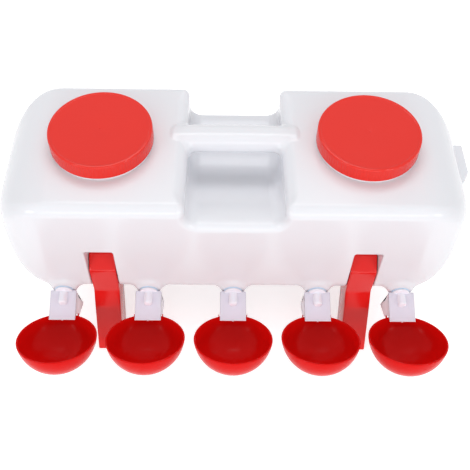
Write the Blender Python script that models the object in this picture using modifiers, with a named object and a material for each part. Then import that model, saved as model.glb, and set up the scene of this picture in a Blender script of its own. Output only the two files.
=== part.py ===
"""Poultry drinker: a long blow-moulded water tank with a bridge handle, two screw lids, two red
arch stands and a row of tilting drinking cups on sprung valves along its lower front edge.

Units are metres, +Z is up, +X is to the right and +Y points away from the cups. The ground is
z = 0 and the origin lies under the middle of the drinker's bounding box.
"""
import math

import bmesh
import bpy
from mathutils import Matrix, Vector

MM = 0.001

# Gaps between pieces, and how far a cut runs past the face where it ends
FIT_GAP = 0.3 * MM
RUNNING_GAP = 0.5 * MM
OVERCUT = 0.02 * MM

# Tank
TANK_LENGTH = 480 * MM
TANK_DEPTH = 172 * MM
TANK_HEIGHT = 147 * MM
TANK_WALL = 2.5 * MM
GROUND_CLEARANCE = 65 * MM
PLAN_CORNER_RADIUS = 45 * MM
END_TOP_RADIUS = 54 * MM
END_BOTTOM_RADIUS = 48 * MM
TOP_EDGE_RADIUS = 16 * MM
BOTTOM_EDGE_RADIUS = 24 * MM

# Saddle under the handle
SADDLE_WIDTH = 97 * MM
SADDLE_FRONT_DROP = 26 * MM
SADDLE_MIDDLE_DROP = 56 * MM
SADDLE_REAR_DROP = 41 * MM
SADDLE_FLOOR_FILLET = 14 * MM
SADDLE_EDGE_RADIUS = 13 * MM
SADDLE_LIP_RADIUS = 7 * MM

# Bridge handle
HANDLE_HALF_LENGTH = 65 * MM
HANDLE_REAR_CORNER = 18 * MM
HANDLE_DEPTH = 28 * MM
HANDLE_THICKNESS = 24 * MM
HANDLE_ROUND = 11 * MM
HANDLE_ROUND_SHARE = 0.8
HANDLE_SETBACK = 17.5 * MM
HANDLE_RISE = 1.5 * MM
HANDLE_CROWN = 1 * MM

# Moulded lug on the right end
LUG_REACH = 10 * MM
LUG_LENGTH = 40 * MM
LUG_TAPER = 17 * MM
LUG_THICKNESS = 14 * MM
LUG_SETBACK = 24 * MM
LUG_TOP_DROP = 44 * MM

# Filler necks, lids and liners
LID_FROM_END = 106.5 * MM
LID_SETBACK = 3 * MM
LID_RADIUS = 51.9 * MM
LID_DRAFT = 0.4 * MM
LID_SIDE_WALL = 1.8 * MM
LID_TOP_WALL = 2.2 * MM
LID_EDGE_ROUND = 2.2 * MM
LID_SKIRT = 15.8 * MM
LID_SHOULDER_GAP = 0.5 * MM
LINER_THICKNESS = 1.2 * MM
NECK_RADIUS = 48.6 * MM
NECK_WALL = 3.6 * MM
NECK_CHAMFER = 0.8 * MM
SHOULDER_RADIUS = 50.6 * MM
SHOULDER_HEIGHT = 2.2 * MM

# Stands
STAND_FROM_END = 102 * MM
STAND_WIDTH = 28 * MM
STAND_WALL = 2.8 * MM
STAND_SOLE = 3 * MM
STAND_SIDE_GAP = 1.2 * MM
STAND_FACE_HEIGHT = 43 * MM
STAND_TIP_HEIGHT = 58 * MM
FOOT_REACH = 37 * MM
FOOT_DEPTH = 39 * MM
KNEE_REACH = 10 * MM
KNEE_DROP = 12 * MM
KNEE_START = 5 * MM
CROSSBAR_DEPTH = 15 * MM
CROOK_DROP = 4 * MM
CROOK_REACH = 6 * MM
STAND_EDGE_ROUND = 1 * MM
SOCKET_DEPTH = 18 * MM
SOCKET_HEIGHT = 78 * MM
SOCKET_BACK_HEIGHT = 60 * MM

# Row of valves
CUP_COUNT = 5
CUP_FROM_END = 57.4 * MM
VALVE_HEIGHT = 11 * MM
BOSS_RADIUS = 12 * MM
BOSS_REACH = 2.6 * MM
BOSS_EDGE_ROUND = 1 * MM
BOSS_NECK_LENGTH = 2 * MM
BOSS_FLARE_START = 26
BOSS_FLARE_END = 74
BOSS_FLARE_RADIUS = 12.5 * MM
BOSS_END_WALL = 3 * MM
SEAL_RING_RADIUS = 11 * MM
SEAL_RING_THICKNESS = 2.2 * MM
FLANGE_RADIUS = 10.3 * MM
FLANGE_THICKNESS = 2 * MM
STUB_RADIUS = 7.3 * MM
STUB_BORE_RADIUS = 5.2 * MM
STUB_LENGTH = 21 * MM
SEAT_THICKNESS = 2.4 * MM
STEM_HOLE_RADIUS = 2.2 * MM

# Valve housing
HOOD_WIDTH = 28 * MM
HOOD_WALL = 1.8 * MM
HOOD_STEP = 0.3 * MM
HOOD_REACH = 28.4 * MM
HOOD_TOP_RISE = 3.1 * MM
HOOD_FALL = 7.6 * MM
CHEEK_FRONT = 13.6 * MM
CHEEK_RISE = 5.5 * MM
CHEEK_LOW_FRONT = 7.6 * MM
CHEEK_DROP = 9.2 * MM
HOOD_TAIL_BACK = 15.4 * MM
HOOD_TAIL_DROP = 20.4 * MM
SPRING_TUBE_RADIUS = 4.8 * MM
SPRING_TUBE_BORE = 3.4 * MM
SPRING_TUBE_LENGTH = 14 * MM
SPRING_TUBE_END = 1.8 * MM

# Cup and its hinge
CUP_RADIUS = 41.4 * MM
CUP_DEPTH = 37 * MM
CUP_WALL = 1.8 * MM
CUP_TILT = math.radians(28)
CUP_TRAVEL = math.radians(12)
HINGE_BELOW_VALVE = 19 * MM
HINGE_BEHIND_RIM = 14.5 * MM
RIM_ABOVE_HINGE = 1.8 * MM
HINGE_PIN_RADIUS = 1.2 * MM
HINGE_PIN_SEAT = 0.9 * MM
HUB_RADIUS = 3.4 * MM
ARM_WIDTH = 9 * MM
ARM_ROOT_HALF = 3 * MM
ARM_BELOW_RIM = math.radians(2.5)
ARM_SPREAD = math.radians(15)
LEVER_WIDTH = 4 * MM
LEVER_THICKNESS = 2.4 * MM
LEVER_TOP = 2 * MM
EAR_RADIUS = 3 * MM
EAR_THICKNESS = 1.8 * MM
EAR_GAP = 0.8 * MM

# Valve pin, its seal and the return spring
STEM_RADIUS = 1.4 * MM
STEM_HEAD_RADIUS = 3.6 * MM
STEM_HEAD_THICKNESS = 1.6 * MM
VALVE_SEAL_RADIUS = 4.2 * MM
VALVE_SEAL_THICKNESS = 1.6 * MM
SPRING_RADIUS = 2.5 * MM
SPRING_WIRE_RADIUS = 0.3 * MM
SPRING_TURNS = 4

# Facets
CUP_STEPS = 24
CUP_ARC_STEPS = 5
LID_STEPS = 40
MOUTH_STEPS = 32
VALVE_STEPS = 12
PIN_STEPS = 10
BOSS_ROOM_STEPS = 8
END_STEPS = 6
EDGE_STEPS = 4
ROOM_END_STEPS = 4
LIP_STEPS = 3
HANDLE_STEPS = 3
SPRING_STEPS = 6
SHARP_ANGLE = math.radians(35)
MERGE_DISTANCE = 0.01 * MM

# Heights and distances worked out from the sizes above, before the origin is moved
TANK_TOP = GROUND_CLEARANCE + TANK_HEIGHT
FRONT_FACE = -TANK_DEPTH / 2
SADDLE_HALF = SADDLE_WIDTH / 2
LID_SPACING = TANK_LENGTH - 2 * LID_FROM_END
STAND_SPACING = TANK_LENGTH - 2 * STAND_FROM_END
CUP_SPACING = (TANK_LENGTH - 2 * CUP_FROM_END) / (CUP_COUNT - 1)
LID_BOTTOM = TANK_TOP + SHOULDER_HEIGHT + LID_SHOULDER_GAP
LID_TOP = LID_BOTTOM + LID_SKIRT
LINER_TOP = LID_TOP - LID_TOP_WALL - FIT_GAP
NECK_TOP = LINER_TOP - LINER_THICKNESS - FIT_GAP
VALVE_Z = GROUND_CLEARANCE + VALVE_HEIGHT
BOSS_FACE = FRONT_FACE - BOSS_REACH
RING_BACK = BOSS_FACE - FIT_GAP
FLANGE_BACK = RING_BACK - SEAL_RING_THICKNESS - FIT_GAP
FLANGE_FRONT = FLANGE_BACK - FLANGE_THICKNESS
SEAT_Y = FLANGE_BACK + STUB_LENGTH
TUBE_END = FLANGE_FRONT - SPRING_TUBE_LENGTH
HOOD_BACK = FLANGE_BACK - HOOD_STEP
HOOD_INNER_BACK = HOOD_BACK - HOOD_WALL
HOOD_INNER_HALF = HOOD_WIDTH / 2 - HOOD_WALL

# The lever leans as far behind its hinge at rest as in front of it when the cup is down
LEVER_HALF_STROKE = HINGE_BELOW_VALVE * math.sin(CUP_TRAVEL / 2)
VALVE_STROKE = 2 * LEVER_HALF_STROKE
LEVER_Y = HOOD_INNER_BACK - RUNNING_GAP - FIT_GAP - LEVER_THICKNESS / 2
LEVER_Y_DOWN = LEVER_Y - VALVE_STROKE
HINGE_Y = LEVER_Y - LEVER_HALF_STROKE
HINGE_Z = VALVE_Z - HINGE_BELOW_VALVE
STEM_FRONT = LEVER_Y + LEVER_THICKNESS / 2 + FIT_GAP
SEAL_FRONT = SEAT_Y + VALVE_STROKE + FIT_GAP
HEAD_FRONT = SEAL_FRONT + VALVE_SEAL_THICKNESS + FIT_GAP

RIM_RADIUS = math.sqrt(CUP_RADIUS ** 2 - (CUP_RADIUS - CUP_DEPTH) ** 2)
RIM_ANGLE = math.asin((CUP_RADIUS - CUP_DEPTH) / CUP_RADIUS)
CUP_Y = HINGE_Y - HINGE_BEHIND_RIM - CUP_RADIUS * math.cos(CUP_TILT + RIM_ANGLE)
CUP_Z = HINGE_Z + RIM_ABOVE_HINGE + CUP_RADIUS * math.sin(CUP_TILT + RIM_ANGLE)

FRONT_REACH = CUP_Y - CUP_RADIUS
REAR_REACH = TANK_DEPTH / 2 + FOOT_REACH
ORIGIN_SHIFT = Vector((-LUG_REACH / 2, -(FRONT_REACH + REAR_REACH) / 2, 0))


def clear_scene():
    for existing in list(bpy.data.objects):
        bpy.data.objects.remove(existing, do_unlink=True)


def new_collection(name):
    collection = bpy.data.collections.new(name)
    bpy.context.scene.collection.children.link(collection)
    return collection


def make_material(name, color, roughness, metallic=0.0):
    material = bpy.data.materials.new(name)
    material.use_nodes = True
    shader = material.node_tree.nodes["Principled BSDF"]
    shader.inputs["Base Color"].default_value = (*color, 1.0)
    shader.inputs["Roughness"].default_value = roughness
    shader.inputs["Metallic"].default_value = metallic
    return material


def make_empty(name, location, parent=None):
    empty = bpy.data.objects.new(name, None)
    drinker.objects.link(empty)
    empty.location = location
    empty.parent = parent
    return empty


def place(name, mesh, material=None, parent=None, location=(0, 0, 0), turn_x=0.0):
    """Put a mesh in the scene. With a material it is a piece, and without one it is a cutter."""
    piece = bpy.data.objects.new(name, mesh)
    if material is None:
        cutters.objects.link(piece)
        piece.display_type = "WIRE"
        piece.hide_render = True
    else:
        drinker.objects.link(piece)
        mesh.materials.append(material)
    piece.parent = parent or origin
    piece.location = location
    piece.rotation_euler = (turn_x, 0, 0)
    return piece


def mesh_from(name, bm):
    bmesh.ops.recalc_face_normals(bm, faces=bm.faces)
    mesh = bpy.data.meshes.new(name)
    bm.to_mesh(mesh)
    bm.free()
    mesh.shade_smooth()
    mesh.set_sharp_from_angle(angle=SHARP_ANGLE)
    return mesh


def loft(name, rings):
    """Skin a closed body through rings of equal point count, flat at both ends."""
    bm = bmesh.new()
    loops = [[bm.verts.new(point) for point in ring] for ring in rings]
    count = len(loops[0])
    for near, far in zip(loops, loops[1:]):
        for i in range(count):
            j = (i + 1) % count
            bm.faces.new((near[i], near[j], far[j], far[i]))
    bm.faces.new(loops[0])
    bm.faces.new(loops[-1])
    return mesh_from(name, bm)


def side_prism(name, outline, half_width, centre=0.0):
    """Extrude a closed outline of (y, z) points along X, to both sides of a centre."""
    ends = (centre - half_width, centre + half_width)
    return loft(name, [[(x, y, z) for y, z in outline] for x in ends])


def cylinder(name, radius, half_length, location, steps=PIN_STEPS):
    """Cylinder along X."""
    bm = bmesh.new()
    bmesh.ops.create_cone(
        bm, cap_ends=True, segments=steps, radius1=radius, radius2=radius, depth=2 * half_length
    )
    lay_down = Matrix.Translation(location) @ Matrix.Rotation(math.radians(90), 4, "Y")
    bmesh.ops.transform(bm, matrix=lay_down, verts=bm.verts)
    return mesh_from(name, bm)


def turned(name, profile, steps, material=None, parent=None, location=(0, 0, 0), turn_x=0.0):
    """Turn a profile of (radius, height) points, listed down its outer side, about the object's Z."""
    mesh = bpy.data.meshes.new(name)
    edges = [(i, i + 1) for i in range(len(profile) - 1)]
    if profile[0][0] > 0:
        edges.append((len(profile) - 1, 0))
    mesh.from_pydata([(radius, 0, height) for radius, height in profile], edges, [])
    piece = place(name, mesh, material, parent, location, turn_x)
    screw = piece.modifiers.new("turn", "SCREW")
    screw.angle = 2 * math.pi
    screw.steps = steps
    screw.render_steps = steps
    screw.use_merge_vertices = True
    screw.merge_threshold = MERGE_DISTANCE
    screw.use_smooth_shade = True
    return piece


def turned_forward(name, profile, steps, x, material=None):
    """Turn a profile about a valve's axis, with its heights measured forward from the tank's middle."""
    return turned(name, profile, steps, material, location=(x, 0, VALVE_Z), turn_x=math.radians(90))


def boolean(piece, operation, others):
    for other in others:
        modifier = piece.modifiers.new(other.name, "BOOLEAN")
        modifier.operation = operation
        modifier.object = other
        modifier.solver = "EXACT"


def cut(piece, *others):
    boolean(piece, "DIFFERENCE", others)


def join(piece, *others):
    boolean(piece, "UNION", others)


def arc(centre_a, centre_b, radius, start, end, steps):
    """Points on an arc in a plane, from one angle to another in degrees."""
    points = []
    for i in range(steps + 1):
        angle = math.radians(start + (end - start) * i / steps)
        points.append((centre_a + radius * math.cos(angle), centre_b + radius * math.sin(angle)))
    return points


def rounded_rectangle(half_a, low_b, high_b, low_radius, high_radius, steps):
    """Outline centred on the first axis, with its own radii on the lower and the upper corners."""
    points = arc(half_a - low_radius, low_b + low_radius, low_radius, -90, 0, steps)
    points += arc(half_a - high_radius, high_b - high_radius, high_radius, 0, 90, steps)
    return points + [(-a, b) for a, b in reversed(points)]


def end_sink(distance_to_end, radius):
    """How far an outline has drawn in at this distance from the tank's end."""
    if distance_to_end >= radius:
        return 0.0
    return radius - math.sqrt(radius ** 2 - (radius - distance_to_end) ** 2)


def steps_to_end(radius, steps):
    """Distances from an end at which a rounding of this radius is given a ring."""
    return [radius * (1 - math.cos(math.radians(90 * i / steps))) for i in range(steps + 1)]


def tank_body(name, inset, end_steps):
    """The long rounded box of the tank, drawn in all round by the inset."""
    half_length = TANK_LENGTH / 2 - inset
    to_end = steps_to_end(END_TOP_RADIUS - inset, end_steps)
    rings = []
    for side in (-1, 1):
        for distance in to_end if side < 0 else reversed(to_end):
            half_depth = TANK_DEPTH / 2 - inset - end_sink(distance, PLAN_CORNER_RADIUS - inset)
            top = TANK_TOP - inset - end_sink(distance, END_TOP_RADIUS - inset)
            bottom = GROUND_CLEARANCE + inset + end_sink(distance, END_BOTTOM_RADIUS - inset)
            low, high = BOTTOM_EDGE_RADIUS - inset, TOP_EDGE_RADIUS - inset
            outline = rounded_rectangle(half_depth, bottom, top, low, high, EDGE_STEPS)
            rings.append([(side * (half_length - distance), y, z) for y, z in outline])
    return loft(name, rings)


def saddle_floor(y):
    """Height of the saddle's floor: a smooth fall from each lip to the lowest line under the handle."""
    lip = TANK_DEPTH / 2 - SADDLE_LIP_RADIUS
    drop, lip_y = (SADDLE_FRONT_DROP, -lip) if y < HANDLE_SETBACK else (SADDLE_REAR_DROP, lip)
    along = min((y - HANDLE_SETBACK) / (lip_y - HANDLE_SETBACK), 1.0)
    rise = (SADDLE_MIDDLE_DROP - drop) * (1 - math.cos(math.pi * along)) / 2
    return TANK_TOP - SADDLE_MIDDLE_DROP + rise


def saddle_cutter(name, wall):
    """The valley under the handle, swept from front to rear. With a wall it is grown into the tank."""
    lip_start = TANK_DEPTH / 2 - SADDLE_LIP_RADIUS
    lip_radius = SADDLE_LIP_RADIUS - wall
    lip = [lip_radius * math.sin(math.radians(90 * i / LIP_STEPS)) for i in range(LIP_STEPS)]
    lip.append(lip_radius + OVERCUT)
    front = lip_start + HANDLE_SETBACK
    rear = lip_start - HANDLE_SETBACK
    beyond = lip_start + 2 * SADDLE_LIP_RADIUS
    stations = [-beyond] + [-lip_start - u for u in reversed(lip)]
    stations += [HANDLE_SETBACK - front * i / 4 for i in (3, 2, 1, 0)]
    stations += [HANDLE_SETBACK + rear * i / 3 for i in (1, 2)]
    stations += [lip_start + u for u in lip] + [beyond]
    fillet = SADDLE_FLOOR_FILLET + wall
    edge = SADDLE_EDGE_RADIUS - wall
    rings = []
    for y in stations:
        reach = min(max(abs(y) - lip_start, 0.0), lip_radius)
        sink = SADDLE_LIP_RADIUS - math.sqrt(lip_radius ** 2 - reach ** 2)
        floor = saddle_floor(y) - sink
        half = SADDLE_HALF + sink
        right = arc(half - fillet, floor + fillet, fillet, -90, 0, 3)
        right += arc(half + edge, TANK_TOP - SADDLE_EDGE_RADIUS, edge, 180, 90, 3)
        right.append((half + edge, TANK_TOP + SADDLE_EDGE_RADIUS))
        rings.append([(x, y, z) for x, z in right + [(-x, z) for x, z in reversed(right)]])
    return loft(name, rings)


def handle_bar(name, inset):
    """The bridge handle across the saddle: a crowned bar that lies on the tank's top at both ends.

    Its rear corners are rounded in plan.
    """
    half_length = HANDLE_HALF_LENGTH - inset
    corner = HANDLE_REAR_CORNER - inset
    to_end = steps_to_end(corner, HANDLE_STEPS)
    xs = [distance - half_length for distance in to_end] + [0]
    xs += [half_length - distance for distance in reversed(to_end)]
    rings = []
    for x in xs:
        top = TANK_TOP + HANDLE_RISE - HANDLE_CROWN * (x / half_length) ** 2 - inset
        bottom = top - HANDLE_THICKNESS + 2 * inset
        cut_back = end_sink(half_length - abs(x), corner)
        half_depth = HANDLE_DEPTH / 2 - inset - cut_back / 2
        radius = min(HANDLE_ROUND - inset, HANDLE_ROUND_SHARE * half_depth)
        outline = rounded_rectangle(half_depth, bottom, top, radius, radius, 3)
        rings.append([(x, HANDLE_SETBACK - cut_back / 2 + y, z) for y, z in outline])
    return loft(name, rings)


def end_lug(name, inset):
    """The moulded lug on the tank's right end, square at the rear and tapered at the front."""
    root = TANK_LENGTH / 2 - TANK_WALL - 2 * inset
    tip = TANK_LENGTH / 2 + LUG_REACH - inset
    rear = LUG_SETBACK + LUG_LENGTH / 2 - inset
    front = LUG_SETBACK - LUG_LENGTH / 2 + inset / 2
    outline = [(root, rear), (tip, rear), (tip, front), (root, front - LUG_TAPER)]
    top = TANK_TOP - LUG_TOP_DROP - inset
    bottom = top - LUG_THICKNESS + 2 * inset
    return loft(name, [[(x, y, z) for x, y in outline] for z in (bottom, top)])


def boss_profile(inset):
    """Bell of a valve boss: a short neck that flares by a hollow curve into the tank's lower edge."""
    face = -BOSS_FACE
    flare = BOSS_FLARE_RADIUS + inset
    start = math.radians(BOSS_FLARE_START)
    flare_r = BOSS_RADIUS + BOSS_FLARE_RADIUS * math.cos(start)
    flare_h = face - BOSS_NECK_LENGTH + BOSS_FLARE_RADIUS * math.sin(start)
    back = BOSS_FLARE_RADIUS - inset
    back_r = flare_r - BOSS_FLARE_RADIUS - BOSS_REACH
    if inset > 0:
        neck = [(0, face - BOSS_END_WALL)]
    else:
        round_r, round_h = BOSS_RADIUS - BOSS_EDGE_ROUND, face - BOSS_EDGE_ROUND
        neck = [(0, face)] + arc(round_r, round_h, BOSS_EDGE_ROUND, 90, 0, 1)
    first, last = 180 + BOSS_FLARE_START, 180 + BOSS_FLARE_END
    bell = arc(flare_r, flare_h, flare, first, last, 3 if inset == 0 else 2)
    bell += arc(back_r, face - BOSS_FLARE_RADIUS, back, 0, -90, 2)
    return neck + bell + [(0, face - BOSS_FLARE_RADIUS - back)]


def stand_outline():
    """Outline of the front half of an arch stand, from the middle of its crossbar round the foot."""
    back = FRONT_FACE + SOCKET_DEPTH - FIT_GAP
    knee = FRONT_FACE - KNEE_REACH
    toe = FRONT_FACE - FOOT_REACH
    under = GROUND_CLEARANCE - FIT_GAP
    knee_z = GROUND_CLEARANCE - KNEE_DROP
    heel_slope = (knee - toe) / knee_z
    crook_z = under - CROSSBAR_DEPTH - CROOK_DROP
    crook = toe + FOOT_DEPTH + heel_slope * crook_z
    return [
        (0, under),
        (back, under),
        (back, GROUND_CLEARANCE + STAND_TIP_HEIGHT),
        (FRONT_FACE + SOCKET_DEPTH / 2, GROUND_CLEARANCE + (STAND_TIP_HEIGHT + STAND_FACE_HEIGHT) / 2),
        (FRONT_FACE, GROUND_CLEARANCE + STAND_FACE_HEIGHT),
        (FRONT_FACE, GROUND_CLEARANCE + KNEE_START),
        (knee, knee_z),
        (toe, 0),
        (toe + FOOT_DEPTH, 0),
        (crook, crook_z),
        (crook + CROOK_REACH, under - CROSSBAR_DEPTH),
        (0, under - CROSSBAR_DEPTH),
    ]


clear_scene()
drinker = new_collection("poultry_drinker")
cutters = new_collection("cutters")
origin = make_empty("origin", ORIGIN_SHIFT)

WHITE_POLYETHYLENE = make_material("white_polyethylene", (0.83, 0.82, 0.85), 0.42)
RED_PLASTIC = make_material("red_plastic", (0.75, 0.03, 0.025), 0.3)
WHITE_ACETAL = make_material("white_acetal", (0.82, 0.75, 0.85), 0.35)
BLUE_SILICONE = make_material("blue_silicone", (0.52, 0.68, 0.86), 0.4)
LINER_FOAM = make_material("liner_foam", (0.86, 0.86, 0.84), 0.8)
BLACK_RUBBER = make_material("black_rubber", (0.03, 0.03, 0.03), 0.7)
STAINLESS_STEEL = make_material("stainless_steel", (0.6, 0.6, 0.6), 0.3, 1.0)

LID_XS = {"left": -LID_SPACING / 2, "right": LID_SPACING / 2}
STAND_XS = {"left": -STAND_SPACING / 2, "right": STAND_SPACING / 2}
CUP_XS = [CUP_SPACING * (i - (CUP_COUNT - 1) / 2) for i in range(CUP_COUNT)]


def socket_cutter(name, x, side, wall):
    """Recess for a stand's leg in the front or rear face, open below and sloping out at its top."""
    back = FRONT_FACE + SOCKET_DEPTH + wall
    outside = FRONT_FACE - SOCKET_DEPTH
    below = GROUND_CLEARANCE - SOCKET_DEPTH
    slope = (SOCKET_HEIGHT - SOCKET_BACK_HEIGHT) / SOCKET_DEPTH
    back_top = GROUND_CLEARANCE + SOCKET_BACK_HEIGHT + wall * (math.hypot(1, slope) - slope)
    outside_top = back_top + slope * (back - outside)
    outline = [(outside, below), (back, below), (back, back_top), (outside, outside_top)]
    half_width = STAND_WIDTH / 2 + STAND_SIDE_GAP + wall
    return place(name, side_prism(name, [(-side * y, z) for y, z in outline], half_width, x))


def hollow_of_tank():
    """The room inside the tank: its outside drawn in by the wall, and open at mouths and valves."""
    mouth_radius = NECK_RADIUS - NECK_WALL
    mouth_profile = [
        (0, NECK_TOP + NECK_WALL),
        (mouth_radius, NECK_TOP + NECK_WALL),
        (mouth_radius, TANK_TOP - 2 * TANK_WALL),
        (0, TANK_TOP - 2 * TANK_WALL),
    ]
    hole = STUB_RADIUS + FIT_GAP
    front, back = -BOSS_FACE + BOSS_END_WALL, -BOSS_FACE - 2 * BOSS_END_WALL
    hole_profile = [(0, front), (hole, front), (hole, back), (0, back)]
    hollow = place("tank_hollow", tank_body("tank_hollow", TANK_WALL, ROOM_END_STEPS))
    cut(hollow, place("saddle_inside", saddle_cutter("saddle_inside", TANK_WALL)))
    for name, x in STAND_XS.items():
        for side in (-1, 1):
            cut(hollow, socket_cutter(f"socket_inside_{name}_{side}", x, side, TANK_WALL))
    join(hollow, place("handle_inside", handle_bar("handle_inside", TANK_WALL)))
    join(hollow, place("lug_inside", end_lug("lug_inside", TANK_WALL)))
    for name, x in LID_XS.items():
        join(hollow, turned(f"mouth_{name}", mouth_profile, MOUTH_STEPS, location=(x, LID_SETBACK, 0)))
    for i, x in enumerate(CUP_XS):
        join(hollow, turned_forward(f"boss_inside_{i}", boss_profile(TANK_WALL), BOSS_ROOM_STEPS, x))
        join(hollow, turned_forward(f"valve_hole_{i}", hole_profile, VALVE_STEPS, x))
    return hollow


def build_tank():
    tank = place("tank", tank_body("tank", 0, END_STEPS), WHITE_POLYETHYLENE)
    cut(tank, place("saddle", saddle_cutter("saddle", 0)))
    for name, x in STAND_XS.items():
        for side in (-1, 1):
            cut(tank, socket_cutter(f"socket_{name}_{side}", x, side, 0))
    join(tank, place("handle", handle_bar("handle", 0)))
    lug = place("lug", end_lug("lug", 0))
    rounding = lug.modifiers.new("rounding", "BEVEL")
    rounding.width = TANK_WALL / 2
    rounding.segments = 2
    join(tank, lug)
    for i, x in enumerate(CUP_XS):
        join(tank, turned_forward(f"boss_{i}", boss_profile(0), VALVE_STEPS, x))
    neck_profile = [
        (0, NECK_TOP),
        (NECK_RADIUS - NECK_CHAMFER, NECK_TOP),
        (NECK_RADIUS, NECK_TOP - NECK_CHAMFER),
        (NECK_RADIUS, TANK_TOP + SHOULDER_HEIGHT),
        (SHOULDER_RADIUS, TANK_TOP + SHOULDER_HEIGHT),
        (SHOULDER_RADIUS, TANK_TOP - TANK_WALL / 2),
        (0, TANK_TOP - TANK_WALL / 2),
    ]
    for name, x in LID_XS.items():
        join(tank, turned(f"neck_{name}", neck_profile, LID_STEPS, location=(x, LID_SETBACK, 0)))
    cut(tank, hollow_of_tank())


def build_lid(side, x):
    top_radius = LID_RADIUS - LID_DRAFT
    inner_radius = top_radius - LID_SIDE_WALL
    profile = [(0, LID_TOP)]
    profile += arc(top_radius - LID_EDGE_ROUND, LID_TOP - LID_EDGE_ROUND, LID_EDGE_ROUND, 90, 0, 3)
    profile += [
        (LID_RADIUS, LID_BOTTOM),
        (LID_RADIUS - LID_SIDE_WALL, LID_BOTTOM),
        (inner_radius, LID_TOP - LID_TOP_WALL),
        (0, LID_TOP - LID_TOP_WALL),
    ]
    turned(f"lid_{side}", profile, LID_STEPS, RED_PLASTIC, location=(x, LID_SETBACK, 0))
    liner_radius = inner_radius - RUNNING_GAP - FIT_GAP
    liner_profile = [
        (0, LINER_TOP),
        (liner_radius, LINER_TOP),
        (liner_radius, LINER_TOP - LINER_THICKNESS),
        (0, LINER_TOP - LINER_THICKNESS),
    ]
    turned(f"lid_liner_{side}", liner_profile, LID_STEPS, LINER_FOAM, location=(x, LID_SETBACK, 0))


def build_stand(side, x):
    """Arch stand: a channel that clips over the tank's two sockets and stands on two closed soles."""
    half = stand_outline()[1:-1]
    outline = half + [(-y, z) for y, z in reversed(half)]
    bar = side_prism(f"stand_{side}", outline, STAND_WIDTH / 2, x)
    stand = place(f"stand_{side}", bar, RED_PLASTIC)
    rounding = stand.modifiers.new("rounding", "BEVEL")
    rounding.width = STAND_EDGE_ROUND
    rounding.segments = 1
    knee_z = GROUND_CLEARANCE - KNEE_DROP
    slope = (FOOT_REACH - KNEE_REACH) / knee_z
    shin_slope = KNEE_REACH / (KNEE_DROP + KNEE_START)
    web = STAND_WALL * math.hypot(1, slope)
    roof = GROUND_CLEARANCE - FIT_GAP - STAND_WALL
    hollow = [
        (FRONT_FACE - shin_slope * (GROUND_CLEARANCE + KNEE_START - roof) + web, roof),
        (FRONT_FACE - KNEE_REACH + web, knee_z),
        (FRONT_FACE - FOOT_REACH + slope * STAND_SOLE + web, STAND_SOLE),
    ]
    hollow += [(-y, z) for y, z in reversed(hollow)]
    inner_half = STAND_WIDTH / 2 - STAND_WALL
    name = f"channel_{side}"
    cut(stand, place(name, side_prism(name, hollow, inner_half, x)))
    tip_slope = (STAND_TIP_HEIGHT - STAND_FACE_HEIGHT) / SOCKET_DEPTH
    front = FRONT_FACE + STAND_WALL
    back = FRONT_FACE + SOCKET_DEPTH + STAND_WALL
    ceiling = GROUND_CLEARANCE + STAND_FACE_HEIGHT - STAND_WALL * math.hypot(1, tip_slope)
    pocket = [
        (front, GROUND_CLEARANCE),
        (front, ceiling + tip_slope * STAND_WALL),
        (back, ceiling + tip_slope * (SOCKET_DEPTH + STAND_WALL)),
        (back, GROUND_CLEARANCE),
    ]
    for facing in (-1, 1):
        name = f"pocket_{side}_{facing}"
        mesh = side_prism(name, [(facing * y, z) for y, z in pocket], inner_half, x)
        cut(stand, place(name, mesh))


def hood_shell(i, x):
    """The valve's hood: a sloping plate with two cheeks and a back wall, open below."""
    slope = (HOOD_TOP_RISE + HOOD_FALL) / (HOOD_REACH + FLANGE_THICKNESS - HOOD_STEP)
    top = VALVE_Z + HOOD_TOP_RISE
    tip_y = HOOD_BACK - (HOOD_REACH + FLANGE_THICKNESS - HOOD_STEP)
    heel_z = VALVE_Z - BOSS_RADIUS - 2 * RUNNING_GAP
    tail_y, tail_z = HINGE_Y + HOOD_TAIL_BACK, HINGE_Z - HOOD_TAIL_DROP
    outline = [
        (HOOD_BACK, top),
        (tip_y, top + slope * (tip_y - HOOD_BACK)),
        (HINGE_Y - CHEEK_FRONT, HINGE_Z + CHEEK_RISE),
        (HINGE_Y - CHEEK_LOW_FRONT, HINGE_Z - CHEEK_DROP),
        (tail_y, tail_z),
        (HOOD_BACK, heel_z),
    ]
    hood = place(f"hood_{i}", side_prism(f"hood_{i}", outline, HOOD_WIDTH / 2, x))
    under = top - HOOD_WALL * math.hypot(1, slope)
    lean = (tail_y - HOOD_BACK) / (heel_z - tail_z)
    ahead = tip_y - HOOD_WALL
    below = tail_z - HOOD_WALL
    room = [
        (HOOD_INNER_BACK, under + slope * (HOOD_INNER_BACK - HOOD_BACK)),
        (ahead, under + slope * (ahead - HOOD_BACK)),
        (ahead, below),
        (HOOD_INNER_BACK + lean * (heel_z - below), below),
        (HOOD_INNER_BACK, heel_z),
    ]
    cut(hood, place(f"hood_room_{i}", side_prism(f"hood_room_{i}", room, HOOD_INNER_HALF, x)))
    return hood


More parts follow.
